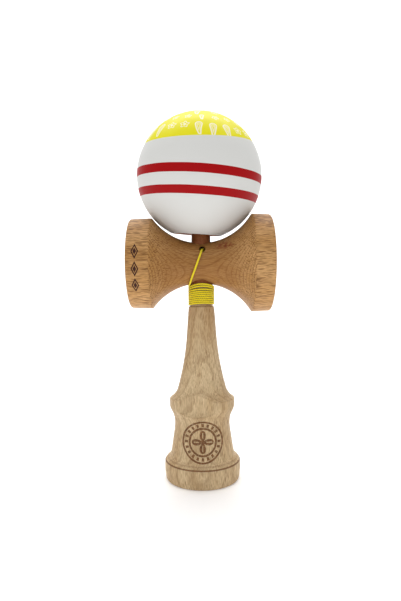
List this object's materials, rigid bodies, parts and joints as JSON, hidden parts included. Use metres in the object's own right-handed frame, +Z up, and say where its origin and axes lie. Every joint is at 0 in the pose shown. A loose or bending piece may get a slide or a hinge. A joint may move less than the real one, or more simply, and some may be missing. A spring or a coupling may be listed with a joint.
{
  "type": "kendama",
  "caption": "Wooden kendama cup-and-ball toy: turned handle with spike and base cup, two-cup cross-piece, striped painted ball and yellow string wound on the neck.",
  "frame": {"origin": "on the surface that the base ring stands on, on the axis of the ken (the handle)", "axes": "+Z up along the ken to the spike; -Y is the front, which the string hole faces; the small cup points to -X and the big cup to +X"},
  "size_m": [0.0666, 0.0614, 0.1764],
  "materials": {
    "ken_wood": "pale beech, fine sanded, satin",
    "sarado_wood": "oiled beech, satin",
    "tama_paint": "gloss lacquer over wood",
    "bead_wood": "plain, satin",
    "string_cord": "twisted nylon cord"
  },
  "bodies": {
    "ken": {"ken": "ken_wood", "sarado": "sarado_wood", "stopper_knot": "string_cord", "string_front": "string_cord", "string_winding": "string_cord", "string_back": "string_cord"},
    "string_end": {"string_top": "string_cord", "end_knot": "string_cord"},
    "bead": {"bead": "bead_wood"},
    "tama": {"tama": "tama_paint"}
  },
  "joints": [
    {"name": "tama_lift", "type": "slide", "parent": "ken", "child": "string_end", "axis": [0, 0, 1], "range_m": [0, 0.05]},
    {"name": "tama_spin", "type": "hinge", "parent": "string_end", "child": "tama", "pos_m": [-0.0005, 0, 0.14461], "axis": [0.0663, -0.1115, 0.9916], "continuous": true},
    {"name": "bead_spin", "type": "hinge", "parent": "string_end", "child": "bead", "pos_m": [0.00034, -0.00142, 0.15725], "axis": [0.0663, -0.1115, 0.9916], "continuous": true}
  ]
}
